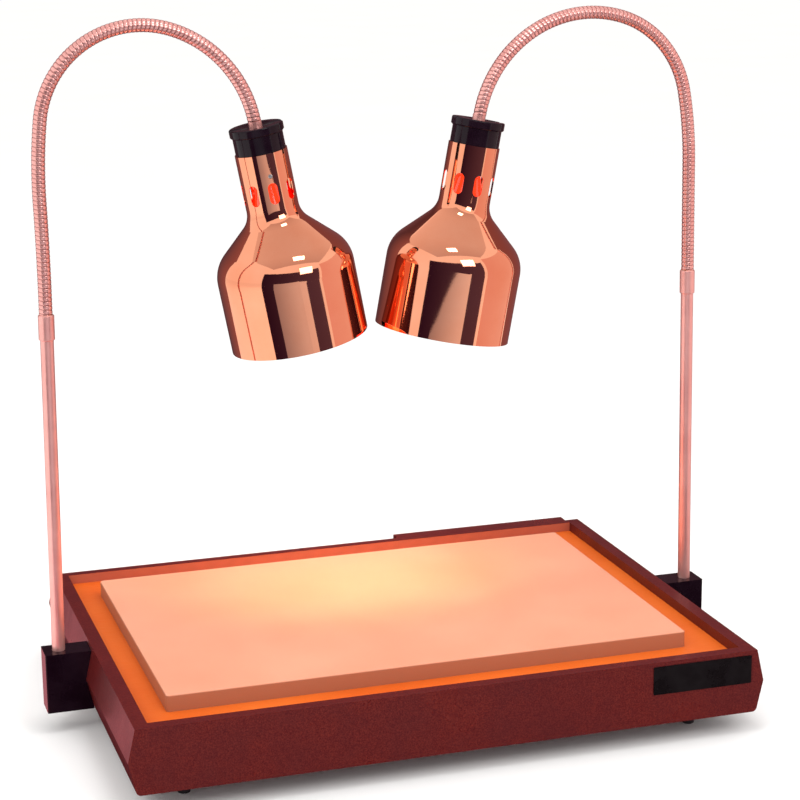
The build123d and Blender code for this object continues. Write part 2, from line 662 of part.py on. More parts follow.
def thermostat():
    """Thermostat behind the cover: its threaded bush comes through and holds it with a nut."""
    body = fitting(THERMOSTAT_X, THERMOSTAT_BODY, -28, -6)
    body = fillet(body.edges().filter_by(Axis.Y), 3.0)
    bush = rear_rod(THERMOSTAT_X, BOX_MIDDLE, BUSH_RADIUS, BOX_BACK - 6, BOX_BACK + 1)
    seat = rear_rod(THERMOSTAT_X, BOX_MIDDLE, 8.0, BOX_BACK - 6, BOX_BACK - BOX_SHEET)
    bore = rear_rod(THERMOSTAT_X, BOX_MIDDLE, SHAFT_RADIUS + 0.05, BOX_BACK - 20, BOX_BACK + 2)
    return body + bush + seat - bore


def thermostat_knob():
    """Ribbed knob with a raised pointer, on its shaft."""
    knob = rod(KNOB_RADIUS, 0, KNOB_LENGTH)
    knob = fillet(knob.edges().group_by(Axis.Z)[-1], 2.0)
    groove = Pos(KNOB_RADIUS + 0.6, 0, KNOB_LENGTH / 2 + 3) * Cylinder(1.6, KNOB_LENGTH)
    grooves = [Rot(0, 0, i * 360 / KNOB_RIBS) * groove for i in range(KNOB_RIBS)]
    pointer = Pos(0, KNOB_RADIUS / 2, KNOB_LENGTH - 0.6) * Box(2.0, KNOB_RADIUS - 6, 1.2)
    shaft = rod(SHAFT_RADIUS, -KNOB_GAP - 19, 1)
    turned = Rot(-90, 0, 0) * (knob - grooves - pointer + shaft)
    return Pos(THERMOSTAT_X, BOX_BACK + KNOB_GAP, BOX_MIDDLE) * turned


def pilot_light():
    """Neon pilot light with a domed lens."""
    stem = rear_rod(PILOT_X, BOX_MIDDLE, PILOT_RADIUS, BOX_BACK - 20, BOX_BACK)
    rim = rear_rod(PILOT_X, BOX_MIDDLE, 6.5, BOX_BACK, BOX_BACK + 1.5)
    lens = rear_rod(PILOT_X, BOX_MIDDLE, 4.6, BOX_BACK, BOX_BACK + 5)
    lens = fillet(lens.edges().group_by(Axis.Y)[-1], 3.0)
    return stem + rim + lens


def power_inlet():
    """Three-pin appliance inlet; the mains lead is separate."""
    rim = fitting(INLET_X, INLET_RIM, 0, BEZEL)
    case = fitting(INLET_X, INLET_BODY, -CASE_DEPTH, 0)
    well = fitting(INLET_X, INLET_WELL, -WELL_DEPTH, 5)
    well = chamfer(well.edges().filter_by(Axis.Y).group_by(Axis.Z)[-1], 4.0)
    return rim + case - well


def inlet_pins():
    """Flat pins of the inlet: two outside, the earth pin between and above them."""
    shapes = [block((INLET_X + dx - 1, INLET_X + dx + 1), (BOX_BACK - WELL_DEPTH, BOX_BACK - 1),
                    (BOX_MIDDLE + dz - 2, BOX_MIDDLE + dz + 2)) for dx, dz in ((-7, -2), (7, -2), (0, 2))]
    return group(shapes)


def terminal_block():
    """Screw terminals inside the control box."""
    x_low, x_high = 228.0, 278.0
    front = HALF_D + BOX_SHEET
    body = block((x_low, x_high), (front, front + 9), (36.0, 54.0))
    spots = [(x_low + 7 + i * 12, z) for i in range(4) for z in (40.5, 49.5)]
    return body - [rear_rod(x, z, 2.6, front + 4, front + 10) for x, z in spots]


# ---- write every part ---------------------------------------------------------------------
save("front_panel", end_panel(FRONT_RIM, -1))
save("back_panel", end_panel(BACK_RIM, 1))
save("heated_tray", heated_tray())
save("heating_blanket", heating_blanket())
save("insulation", insulation())
save("bottom_pan", bottom_pan())
save("pan_screws", pan_screws())
save("feet", feet())
save("foot_screws", foot_screws())
save("nameplate", nameplate())
save("cutting_board", cutting_board())
save("bracket_screws", bracket_screws())
save("collar_set_screws", collar_set_screws())

save("control_box", control_box())
save("control_cover", control_cover())
save("cover_screws", cover_screws())
save("thermostat", thermostat())
save("thermostat_knob", thermostat_knob())
save("pilot_light", pilot_light())
save("power_inlet", power_inlet())
save("inlet_pins", inlet_pins())
save("terminal_block", terminal_block())
for use, switch_x in SWITCH_X.items():
    save(f"{use}_switch_body", switch_body(switch_x))
    save(f"{use}_switch_rocker", rocker(switch_x))

for hand, side in (("left", -1), ("right", 1)):
    save(f"{hand}_side_panel", side_panel(side))
    save(f"{hand}_bracket", bracket(side))
    save(f"{hand}_post", post(side))
    save(f"{hand}_collar", collar(side))
    save(f"{hand}_neck_ferrule", neck_ferrule(side))
    for stretch in NECK[hand]:
        save(f"{hand}_neck_{stretch}", neck_stretch(hand, side, stretch))
    lamp = lamp_place(hand, side)
    save(f"{hand}_lamp_nipple", lamp * lamp_nipple())
    save(f"{hand}_cap", lamp * cap())
    save(f"{hand}_lamp_socket", lamp * lamp_socket())
    save(f"{hand}_socket_shell", lamp * socket_shell())
    save(f"{hand}_shade", lamp * shade())
    save(f"{hand}_shade_screw", lamp * shade_screw())
    save(f"{hand}_bulb_glass", lamp * bulb_glass())
    save(f"{hand}_bulb_base", lamp * bulb_base())
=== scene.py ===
import json
import math

import bmesh
import bpy
from mathutils import Matrix, Vector


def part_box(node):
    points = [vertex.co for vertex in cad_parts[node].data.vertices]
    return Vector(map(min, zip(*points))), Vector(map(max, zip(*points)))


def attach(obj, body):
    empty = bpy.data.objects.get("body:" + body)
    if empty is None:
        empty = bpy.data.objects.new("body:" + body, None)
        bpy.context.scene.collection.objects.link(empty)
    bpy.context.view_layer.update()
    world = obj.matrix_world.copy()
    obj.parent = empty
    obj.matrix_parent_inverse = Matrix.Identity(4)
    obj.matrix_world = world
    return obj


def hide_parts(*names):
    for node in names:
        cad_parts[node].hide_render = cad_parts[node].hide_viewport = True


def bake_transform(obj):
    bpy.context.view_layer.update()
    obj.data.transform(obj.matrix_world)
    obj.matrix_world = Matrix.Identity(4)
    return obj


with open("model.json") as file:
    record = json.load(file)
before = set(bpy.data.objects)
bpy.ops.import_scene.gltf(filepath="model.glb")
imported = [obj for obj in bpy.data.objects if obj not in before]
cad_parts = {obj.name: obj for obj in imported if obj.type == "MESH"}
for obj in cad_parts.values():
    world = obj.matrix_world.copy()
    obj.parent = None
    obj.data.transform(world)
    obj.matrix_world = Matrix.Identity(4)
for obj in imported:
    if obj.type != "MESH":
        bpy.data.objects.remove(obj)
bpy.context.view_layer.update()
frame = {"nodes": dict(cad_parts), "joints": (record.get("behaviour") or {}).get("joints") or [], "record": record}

# Looks of a twin heat lamp carving warmer, in metres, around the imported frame.

NODES = frame["nodes"]
JOINTS = {joint["name"]: joint for joint in frame["joints"]}
HANDS = {"left": 1.0, "right": -1.0}      # which way along X each arm reaches inwards

# ---- camera -----------------------------------------------------------------------------------
CAMERA_PLACE = (-0.7198, -2.3564, 0.9626)
CAMERA_TURN = math.radians(17.61)         # from +Y towards +X
CAMERA_DIP = math.radians(13.89)
CAMERA_ROLL = math.radians(-0.56)
CAMERA_LENS = 96.3

# ---- studio: lights as name, place, target, size, power, and whether gloss shows them ----------
LIGHTS = [
    ("key", (0.34, -1.45, 1.20), (0, 0, 0.45), (0.60, 0.50), 4, True),
    ("side", (-1.9, -1.2, 1.9), (0, 0, 0.3), (0.9, 0.9), 10, False),
    ("top", (0.05, -0.25, 2.4), (0, 0, 0.2), (0.9, 0.7), 10, False),
    ("middle", (-0.01, -0.50, 1.50), (0, 0, 0.5), (0.26, 0.22), 1.2, True),
]
SKY_COLOR = (1.0, 0.985, 0.975)
SKY_STRENGTH = 1.08
FLOOR_HALF = 30.0
FLOOR_COLORS = ((0.935, 0.935, 0.93), (0.95, 0.95, 0.945))

# ---- cards: name, left and right colour, distance, degrees round from the front, top ------------
CARD_STEP = 4.0                           # degrees from one fold to the next
CARD_INNER = 0.74                         # where a card's foot on the floor begins
CARD_REACH = 2.0                          # distance at which a foot lies lowest
CARD_LIFT = 0.004                         # rise of a foot for each metre nearer than that
CARDS = [
    ("front_dark", (0.026, 0.010, 0.034), (0.10, 0.065, 0.11), 1.75, (-57, 37), 1.28),
    ("front_grey", (0.36, 0.38, 0.45), (0.86, 0.88, 0.92), 1.70, (-38, 14), 0.40),
    ("right_warm", (0.86, 0.58, 0.56), (0.92, 0.70, 0.66), 1.90, (42, 100), 1.7),
    ("back_mauve", (0.26, 0.12, 0.13), (0.20, 0.09, 0.10), 1.95, (103, 156), 2.3),
    ("back_plum", (0.20, 0.09, 0.10), (0.10, 0.05, 0.06), 1.95, (156, 186), 2.3),
    ("back_brown", (0.10, 0.05, 0.06), (0.30, 0.15, 0.16), 1.95, (186, 228), 2.3),
]

# ---- flat sheets seen only in gloss: a mat is low corner, high corner, colour -------------------
MAT_HEIGHT = 0.0005
FRONT_MAT = ((-0.40, -0.80), (0.80, 0.75), (0.050, 0.010, 0.016))
SIDE_MAT = ((-0.60, -0.60), (-0.40, 0.90), (0.85, 0.27, 0.31))
CEILING_HEIGHT = 2.3
CEILING_HALF = 1.7
CEILING_COLORS = ((0.62, 0.56, 0.56), (0.92, 0.86, 0.84))

# ---- lamps --------------------------------------------------------------------------------------
LAMP_POWERS = (("left", 5.6), ("right", 4.8))
LAMP_COLOR = (1.0, 0.72, 0.43)
LAMP_CONE = 84                            # degrees across
LAMP_LEAN = 0.5                           # how far the beam leans back for each unit down
LAMP_SOFTNESS = 0.05                      # radius of the glowing face
LAMP_GAP = 0.012                          # from the bulb's face to the light
GLOW_DEPTH = 0.045                        # behind the face, where the glass turns deep red
HEAT_DEPTH = 0.05                         # behind the face, where the glow is weakest

# ---- painted reflection of the tray on the lip beside it ----------------------------------------
LIP_SLACK = 0.0004                        # how near a point lies to the lip's face
# colour of the painted reflection of the warm tray on the rear lip's inner face
LIP_PAINTED_REFLECTION = (0.46, 0.12, 0.070)

# ---- goosenecks: straight lengths, or (radius, turn in degrees), from the collar inwards --------
NECK_RUNS = {
    "left": [0.005, (3.43, -2.0), (0.608, 8.4), (0.1135, 61.0), (0.1135, 40.0), (0.1357, 42.3),
             (0.1357, 19.0)],
    "right": [0.1325, (0.488, 9.8), (0.1169, 61.9), (0.1391, 40.0), (0.1391, 37.9), (0.1391, 19.0)],
}
NECK_LEAN = 0.7                           # heading at the collar, degrees from upright
NECK_RADIUS = 0.0076
RIB_PITCH = 0.00485
RIB_DEPTH = 0.00042
GROOVE_SHARE = 0.11                       # half width of a groove as a share of the pitch
CREST_ROUND = 0.00010                     # fall of a rib's crest towards its groove
# colour of the painted shade in the goosenecks' grooves
GROOVE_PAINTED_SHADE = (0.34, 0.12, 0.11)
RINGS_PER_RIB = 10
NECK_SIDES = 28
COLLAR_TOP = 0.0006                       # depth of the ring of points taken as a collar's top


# ---- nodes ------------------------------------------------------------------------------------
def new_material(name, color, roughness, metallic=0.0, **more):
    """A material with a principled shader; more sets its other sockets."""
    material = bpy.data.materials.new(name)
    material.use_nodes = True
    shader = material.node_tree.nodes["Principled BSDF"]
    shader.inputs["Base Color"].default_value = (*color, 1.0)
    shader.inputs["Roughness"].default_value = roughness
    shader.inputs["Metallic"].default_value = metallic
    for socket, value in more.items():
        shader.inputs[socket.replace("_", " ")].default_value = value
    return material, material.node_tree, shader


def node(tree, kind, **inputs):
    """A node with some inputs set, by value or by the socket that feeds them."""
    made = tree.nodes.new("ShaderNode" + kind)
    for name, value in inputs.items():
        socket = made.inputs[name.replace("_", " ")]
        if isinstance(value, bpy.types.NodeSocket):
            tree.links.new(value, socket)
        else:
            socket.default_value = value
    return made


def object_point(tree, stretch=(1, 1, 1)):
    """The point on the piece, stretched along its axes."""
    place = node(tree, "TexCoord").outputs["Object"]
    return node(tree, "Mapping", Vector=place, Scale=stretch).outputs["Vector"]


def noise(tree, scale, detail=3.0, rough=0.5, stretch=(1, 1, 1)):
    """Cloudy noise from 0 to 1; scale is in waves for each metre."""
    made = node(tree, "TexNoise", Vector=object_point(tree, stretch), Scale=scale, Detail=detail,
                Roughness=rough)
    return made.outputs["Fac"]


def cells(tree, scale):
    """Distance from the middle of each of a crowd of cells."""
    made = node(tree, "TexVoronoi", Vector=object_point(tree), Scale=scale)
    return made.outputs["Distance"]


def ramp(tree, factor, low, high, low_color, high_color):
    """Blend of two colours as factor goes from low to high."""
    made = node(tree, "ValToRGB", Fac=factor)
    for element, place, color in zip(made.color_ramp.elements, (low, high), (low_color, high_color)):
        element.position = place
        element.color = (*color, 1.0)
    return made.outputs["Color"]


def spread(tree, factor, low, high):
    """A value from low to high as factor goes through its middle range."""
    made = node(tree, "MapRange", Value=factor)
    made.inputs["From Min"].default_value = 0.3
    made.inputs["From Max"].default_value = 0.7
    made.inputs["To Min"].default_value = low
    made.inputs["To Max"].default_value = high
    return made.outputs["Result"]


def bump(tree, shader, height, distance, strength=1.0, under=None):
    """Raise the surface by height times distance, on top of another bump."""
    made = node(tree, "Bump", Height=height, Distance=distance, Strength=strength)
    if under is not None:
        tree.links.new(under, made.inputs["Normal"])
    tree.links.new(made.outputs["Normal"], shader.inputs["Normal"])
    return made.outputs["Normal"]


def finish_material(tree, shader, color, roughness=None):
    """Feed the shader's colour, and its roughness where that varies."""
    tree.links.new(color, shader.inputs["Base Color"])
    if roughness is not None:
        tree.links.new(roughness, shader.inputs["Roughness"])


# ---- materials --------------------------------------------------------------------------------
def hammer_paint(name, painted_lip_reflection=False):
    """Brown maroon gloss enamel with a fine hammered speckle; the lip flag adds a painted reflection of the tray
    on the lip.
    """
    material, tree, shader = new_material(name, (0.10, 0.010, 0.010), 0.30,
                                          Specular_IOR_Level=0.20, Coat_Weight=0.16,
                                          Coat_Roughness=0.10)
    fleck = ramp(tree, noise(tree, 620, 2.0, 0.7), 0.34, 0.70,
                 (0.076, 0.0045, 0.0065), (0.165, 0.020, 0.014))
    cloud = noise(tree, 18, 3.0)
    made = node(tree, "MixRGB", Fac=spread(tree, cloud, 0.0, 0.4), Color1=fleck,
                Color2=(0.070, 0.0045, 0.0080, 1.0))
    color = made.outputs["Color"]
    # painted reflection: the rear lip's inner face is coloured as if it reflected the warm tray
    if painted_lip_reflection:
        color = paint_lip_reflection(tree, color)
    finish_material(tree, shader, color, spread(tree, cloud, 0.26, 0.38))
    bump(tree, shader, cells(tree, 330), 0.00008)
    return material


def paint_lip_reflection(tree, color):
    """Painted reflection of the heated tray: a warmer colour on the inner face of the rear lip, which stands over
    the tray.
    """
    panel = NODES["back_panel"].data.vertices
    rim = max(vertex.co.z for vertex in panel)
    lip = min(vertex.co.y for vertex in panel if vertex.co.z > rim - LIP_SLACK)
    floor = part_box("heated_tray")[1].z
    place = node(tree, "SeparateXYZ", Vector=node(tree, "TexCoord").outputs["Object"])
    limits = (("Y", "GREATER_THAN", lip - LIP_SLACK), ("Y", "LESS_THAN", lip + LIP_SLACK),
              ("Z", "GREATER_THAN", floor - LIP_SLACK), ("Z", "LESS_THAN", rim - LIP_SLACK))
    painted_reflection_mask = None
    for axis, operation, limit in limits:
        test = node(tree, "Math", Value=place.outputs[axis])
        test.operation = operation
        test.inputs[1].default_value = limit
        if painted_reflection_mask is None:
            painted_reflection_mask = test.outputs["Value"]
            continue
        both = node(tree, "Math", Value=painted_reflection_mask)
        both.operation = "MULTIPLY"
        tree.links.new(test.outputs["Value"], both.inputs[1])
        painted_reflection_mask = both.outputs["Value"]
    made = node(tree, "MixRGB", Fac=painted_reflection_mask, Color1=color, Color2=(*LIP_PAINTED_REFLECTION, 1.0))
    return made.outputs["Color"]


def tray_enamel():
    """Satin orange floor with a faint rolled grain and heat clouds."""
    material, tree, shader = new_material("tray_enamel", (0.80, 0.16, 0.03), 0.38, 0.0,
                                          Specular_IOR_Level=0.18)
    cloud = noise(tree, 7, 4.0)
    color = ramp(tree, cloud, 0.30, 0.72, (0.69, 0.112, 0.012), (0.79, 0.165, 0.022))
    grain = noise(tree, 60, 3.0, 0.6, (1, 18, 1))
    finish_material(tree, shader, color, spread(tree, grain, 0.30, 0.44))
    bump(tree, shader, grain, 0.00004)
    return material


def board_plastic():
    """Cream carving board with painted shade that darkens its side faces, and a pebbled face and shallow knife
    lines.
    """
    material, tree, shader = new_material("board_plastic", (0.86, 0.48, 0.33), 0.48,
                                          Specular_IOR_Level=0.3, Subsurface_Weight=0.05)
    cloud = noise(tree, 9, 4.0)
    color = ramp(tree, cloud, 0.3, 0.7, (0.755, 0.312, 0.192), (0.815, 0.352, 0.222))
    # painted shade: faces that don't look up, the board's sides, are mixed towards dark brown
    painted_shade_factor = node(tree, "SeparateXYZ", Vector=node(tree, "TexCoord").outputs["Normal"]).outputs["Z"]
    made = node(tree, "MixRGB", Fac=painted_shade_factor, Color1=(0.46, 0.165, 0.085, 1.0), Color2=color)
    made.use_clamp = True
    color = made.outputs["Color"]
    pebble = noise(tree, 900, 2.0)
    cuts = noise(tree, 22, 2.0, 0.4, (1, 26, 1))
    finish_material(tree, shader, color, spread(tree, cloud, 0.42, 0.55))
    first = bump(tree, shader, pebble, 0.00010)
    bump(tree, shader, cuts, 0.00006, 0.6, first)
    return material


def polished_copper(name, axis):
    """Spun and lacquered copper: mirror bright, with faint turning lines round its axis."""
    material, tree, shader = new_material(name, (0.95, 0.41, 0.245), 0.05, 1.0)
    place = node(tree, "TexCoord").outputs["Object"]
    height = node(tree, "VectorMath")
    height.operation = "DOT_PRODUCT"
    height.inputs[1].default_value = axis
    tree.links.new(place, height.inputs[0])
    lines = node(tree, "TexNoise", Scale=900.0, Detail=2.0)
    lines.noise_dimensions = "1D"
    tree.links.new(height.outputs["Value"], lines.inputs["W"])
    smear = noise(tree, 14, 4.0, 0.6)
    color = ramp(tree, smear, 0.3, 0.72, (0.92, 0.345, 0.195), (0.96, 0.41, 0.25))
    finish_material(tree, shader, color, spread(tree, smear, 0.025, 0.06))
    first = bump(tree, shader, lines.outputs["Fac"], 0.000004)
    bump(tree, shader, noise(tree, 11, 1.0), 0.0004, 1.0, first)
    return material


def satin_copper(name, roughness, metallic, shade_grooves=False):
    """Pinkish drawn copper; painted shade darkens the goosenecks' grooves."""
    material, tree, shader = new_material(name, (0.90, 0.42, 0.38), roughness, metallic)
    smear = noise(tree, 30, 4.0, 0.6)
    color = ramp(tree, smear, 0.3, 0.7, (0.86, 0.385, 0.350), (0.96, 0.500, 0.455))
    # painted shade: each point is darkened by how deep in a groove it lies
    if shade_grooves:
        groove_shade = node(tree, "Attribute")
        groove_shade.attribute_name = "groove"
        made = node(tree, "MixRGB", Fac=groove_shade.outputs["Fac"], Color1=color,
                    Color2=(*GROOVE_PAINTED_SHADE, 1.0))
        color = made.outputs["Color"]
    finish_material(tree, shader, color, spread(tree, smear, roughness * 0.8, roughness * 1.2))
    drawn = noise(tree, 500, 2.0, 0.5, (1, 1, 0.02))
    bump(tree, shader, drawn, 0.00002)
    return material


def moulding(name, color, roughness, speck):
    """Moulded plastic or rubber with a fine grain and a little uneven gloss."""
    material, tree, shader = new_material(name, color, roughness, Specular_IOR_Level=0.2)
    light = tuple(min(1.0, channel * 1.6 + 0.002) for channel in color)
    cloud = noise(tree, 40, 4.0, 0.6)
    finish_material(tree, shader, ramp(tree, cloud, 0.35, 0.75, color, light),
                    spread(tree, cloud, roughness * 0.8, roughness * 1.3))
    bump(tree, shader, noise(tree, 1400, 2.0), speck)
    return material


def plated(name, color, roughness):
    """Plated or bare metal with fine scratches."""
    material, tree, shader = new_material(name, color, roughness, 1.0)
    dark = tuple(channel * 0.72 for channel in color)
    cloud = noise(tree, 60, 4.0, 0.6)
    finish_material(tree, shader, ramp(tree, cloud, 0.3, 0.7, dark, color),
                    spread(tree, cloud, roughness * 0.7, roughness * 1.4))
    bump(tree, shader, noise(tree, 300, 3.0, 0.6, (1, 12, 1)), 0.00002)
    return material


def fibre():
    """Loose mineral wool."""
    material, tree, shader = new_material("fibre", (0.72, 0.66, 0.46), 0.9)
    strands = noise(tree, 240, 6.0, 0.8, (1, 1, 4))
    color = ramp(tree, strands, 0.3, 0.7, (0.5, 0.44, 0.28), (0.84, 0.78, 0.6))
    finish_material(tree, shader, color)
    bump(tree, shader, strands, 0.001)
    return material


def bulb_glass(name, face, axis):
    """Ruby reflector bulb, alight: deep red behind, hotter towards its face."""
    material, tree, shader = new_material(name, (0.60, 0.03, 0.015), 0.15, Coat_Weight=0.6)
    place = node(tree, "TexCoord").outputs["Object"]
    offset = node(tree, "VectorMath")
    offset.operation = "SUBTRACT"
    offset.inputs[1].default_value = face
    tree.links.new(place, offset.inputs[0])
    height = node(tree, "VectorMath")
    height.operation = "DOT_PRODUCT"
    height.inputs[1].default_value = axis
    tree.links.new(offset.outputs["Vector"], height.inputs[0])
    near = node(tree, "MapRange", Value=height.outputs["Value"])
    near.inputs["From Min"].default_value = 0.0
    near.inputs["From Max"].default_value = GLOW_DEPTH
    glow = ramp(tree, near.outputs["Result"], 0.0, 1.0, (1.0, 0.72, 0.40), (0.95, 0.050, 0.010))
    ripple = noise(tree, 90, 3.0)
    tree.links.new(glow, shader.inputs["Emission Color"])
    heat = node(tree, "MapRange", Value=height.outputs["Value"])
    for socket, value in (("From Min", 0.0), ("From Max", HEAT_DEPTH), ("To Min", 3.4),
                          ("To Max", 1.0)):
        heat.inputs[socket].default_value = value
    tree.links.new(heat.outputs["Result"], shader.inputs["Emission Strength"])
    finish_material(tree, shader, ramp(tree, ripple, 0.3, 0.7, (0.5, 0.02, 0.01), (0.7, 0.05, 0.02)))
    bump(tree, shader, ripple, 0.0003)
    return material


# ---- goosenecks -------------------------------------------------------------------------------
def run_length(run):
    """Length of one stretch of a gooseneck, straight or curved."""
    return run if isinstance(run, float) else run[0] * math.radians(abs(run[1]))


def walk_neck(hand):
    """Points along a gooseneck's middle line: (distance, place, heading in radians)."""
    inwards = HANDS[hand]
    low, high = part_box(f"{hand}_collar")
    heading, gone = math.radians(NECK_LEAN), 0.0
    x, y = neck_foot(hand), (low.y + high.y) / 2
    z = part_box(f"{hand}_neck_riser")[0].z + NECK_RADIUS * math.sin(heading)
    total = sum(run_length(run) for run in NECK_RUNS[hand])
    count = round(total / (RIB_PITCH / RINGS_PER_RIB))
    step = total / count
    ends, end = [], 0.0
    for run in NECK_RUNS[hand]:
        end += run_length(run)
        curve = 0.0 if isinstance(run, float) else math.radians(run[1]) / run_length(run)
        ends.append((end, curve))
    points = []
    for index in range(count + 1):
        points.append((gone, Vector((x, y, z)), heading))
        curve = next((curve for end, curve in ends if gone + step / 2 < end), ends[-1][1])
        middle = heading + curve * step / 2
        x += inwards * step * math.sin(middle)
        z += step * math.cos(middle)
        heading += curve * step
        gone += step
    return points


def neck_foot(hand):
    """X of the gooseneck's lower end, from the top of the collar below it."""
    mesh = NODES[f"{hand}_collar"].data
    top = max(vertex.co.z for vertex in mesh.vertices)
    ring = [vertex.co.x for vertex in mesh.vertices if vertex.co.z > top - COLLAR_TOP]
    return (min(ring) + max(ring)) / 2


def rib_radius(phase):
    """Radius of the ribbed tube and how deep in a groove the point is, along one rib."""
    near = min(phase % 1.0, 1.0 - phase % 1.0)
    groove = math.exp(-((near / GROOVE_SHARE) ** 2))
    crest = math.sin(math.pi * (phase % 1.0))
    return NECK_RADIUS - RIB_DEPTH * groove - CREST_ROUND * (1.0 - crest), groove


def neck_piece(name, points, inwards):
    """A ribbed tube with closed ends along part of a gooseneck."""
    verts, faces, groove_shade_mask = [], [], []
    for gone, place, heading in points:
        normal = Vector((math.cos(heading) * inwards, 0.0, -math.sin(heading)))
        for side in range(NECK_SIDES):
            angle = 2 * math.pi * side / NECK_SIDES
            radius, groove = rib_radius(gone / RIB_PITCH + angle / (2 * math.pi))
            outwards = math.cos(angle) * normal + math.sin(angle) * Vector((0, 1, 0))
            verts.append(place + radius * outwards)
            groove_shade_mask.append(groove)
    for ring in range(len(points) - 1):
        for side in range(NECK_SIDES):
            here, there = ring * NECK_SIDES, (ring + 1) * NECK_SIDES
            after = (side + 1) % NECK_SIDES
            faces.append((here + side, there + side, there + after, here + after))
    faces.append(tuple(range(NECK_SIDES)))
    faces.append(tuple(range(len(verts) - NECK_SIDES, len(verts)))[::-1])
    mesh = bpy.data.meshes.new(name)
    mesh.from_pydata(verts, [], faces)
    # how deep in a groove each point lies, which the ribbed copper turns into painted shade
    attribute = mesh.attributes.new("groove", "FLOAT", "POINT")
    attribute.data.foreach_set("value", groove_shade_mask)
    clean = bmesh.new()
    clean.from_mesh(mesh)
    bmesh.ops.recalc_face_normals(clean, faces=clean.faces)
    clean.to_mesh(mesh)
    clean.free()
    for polygon in mesh.polygons[:-2]:
        polygon.use_smooth = True
    piece = bpy.data.objects.new(name, mesh)
    bpy.context.scene.collection.objects.link(piece)
    return piece


def goosenecks(copper):
    """Two ribbed pieces for each gooseneck, cut midway between the end of its crown and its last stretch."""
    for hand, inwards in HANDS.items():
        points = walk_neck(hand)
        lengths = [run_length(run) for run in NECK_RUNS[hand]]
        crown_start, crown_end = sum(lengths[:-3]), sum(lengths[:-2])
        tip_start = sum(lengths[:-1])
        cut = (crown_end + tip_start) / 2
        first = [point for point in points if point[0] <= cut]
        second = [point for point in points if point[0] >= first[-1][0]]
        upper = neck_piece(f"{hand}_gooseneck_upper", first, inwards)
        lower = neck_piece(f"{hand}_gooseneck_lower", second, inwards)
        for piece in (upper, lower):
            piece.data.materials.append(copper)
        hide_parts(f"{hand}_neck_riser", f"{hand}_neck_crown")
        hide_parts(f"{hand}_neck_drop", f"{hand}_neck_tip")
        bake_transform(upper)
        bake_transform(lower)


# ---- lamps ------------------------------------------------------------------------------------
def lamp_axis(hand):
    """Direction from a lamp's mouth up to its cap."""
    down = Vector(JOINTS[f"{hand}_bulb_out"]["axis"])
    return -down.normalized()


def lamp_face(hand):
    """Lowest point of the bulb on the lamp's axis."""
    mesh = NODES[f"{hand}_bulb_glass"].data
    axis = lamp_axis(hand)
    bottom = min(vertex.co.dot(axis) for vertex in mesh.vertices)
    base = NODES[f"{hand}_bulb_base"].data
    middle = sum((vertex.co for vertex in base.vertices), Vector()) / len(base.vertices)
    return middle + axis * (bottom - middle.dot(axis))


def lamp_light(hand, power):
    """Warm light of one bulb, thrown out of the shade's mouth."""
    axis = lamp_axis(hand)
    data = bpy.data.lights.new(f"{hand}_lamp_light", "SPOT")
    data.energy = power
    data.color = LAMP_COLOR
    data.spot_size = math.radians(LAMP_CONE)
    data.spot_blend = 1.0
    data.shadow_soft_size = LAMP_SOFTNESS
    light = bpy.data.objects.new(f"{hand}_lamp_light", data)
    bpy.context.scene.collection.objects.link(light)
    light.location = lamp_face(hand) - axis * LAMP_GAP
    light.rotation_mode = "QUATERNION"
    aim = (axis - Vector((0, LAMP_LEAN, 0))).normalized()
    light.rotation_quaternion = aim.to_track_quat("Z", "Y")
    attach(light, f"{hand}_bulb")


# ---- studio -----------------------------------------------------------------------------------
def area_light(name, place, target, size, power, shows):
    """A soft box; one that doesn't show leaves no highlight in gloss."""
    data = bpy.data.lights.new(name, "AREA")
    data.shape = "RECTANGLE"
    data.size, data.size_y = size
    data.energy = power
    light = bpy.data.objects.new(name, data)
    bpy.context.scene.collection.objects.link(light)
    light.location = place
    light.rotation_mode = "QUATERNION"
    light.rotation_quaternion = (Vector(place) - Vector(target)).to_track_quat("Z", "Y")
    light.visible_camera = False
    light.visible_glossy = shows


def card(name, left, right, radius, turns, top):
    """Curved studio card round the lamps with a foot along the floor, seen only in gloss.

    turns are degrees round from the front towards +X; left and right are the end colours.
    """
    first, last = turns
    count = max(2, round((last - first) / CARD_STEP))
    outline = [(CARD_INNER, MAT_HEIGHT), (radius, MAT_HEIGHT), (radius, top)]
    lift = (CARD_REACH - radius) * CARD_LIFT      # lays the feet of nearer cards on farther ones
    verts, faces, along = [], [], []
    for index in range(count + 1):
        share = index / count
        angle = math.radians(first + (last - first) * share)
        for away, height in outline:
            verts.append((away * math.sin(angle), -away * math.cos(angle), height + lift))
            along.append(share)
    for index in range(count):
        low = 3 * index
        for step in (0, 1):
            here = low + step
            faces.append((here, here + 3, here + 4, here + 1))
    glossy_only(name, verts, faces, left, right, along)


def glossy_only(name, verts, faces, left, right, along):
    """A glowing sheet that lights nothing and shows only in reflections."""
    mesh = bpy.data.meshes.new(name)
    mesh.from_pydata(verts, [], faces)
    attribute = mesh.attributes.new("along", "FLOAT", "POINT")
    attribute.data.foreach_set("value", along)
    sheet = bpy.data.objects.new(name, mesh)
    bpy.context.scene.collection.objects.link(sheet)
    for sight in ("visible_camera", "visible_diffuse", "visible_shadow", "visible_transmission"):
        setattr(sheet, sight, False)
    material, tree, shader = new_material(name, (0.0, 0.0, 0.0), 1.0, Specular_IOR_Level=0.0,
                                          Emission_Strength=1.0)
    share = node(tree, "Attribute")
    share.attribute_name = "along"
    tree.links.new(ramp(tree, share.outputs["Fac"], 0.0, 1.0, left, right),
                   shader.inputs["Emission Color"])
    mesh.materials.append(material)


def corners(low, high, height):
    """Corners of a level rectangle between two of them."""
    return [(low[0], low[1], height), (high[0], low[1], height),
            (high[0], high[1], height), (low[0], high[1], height)]


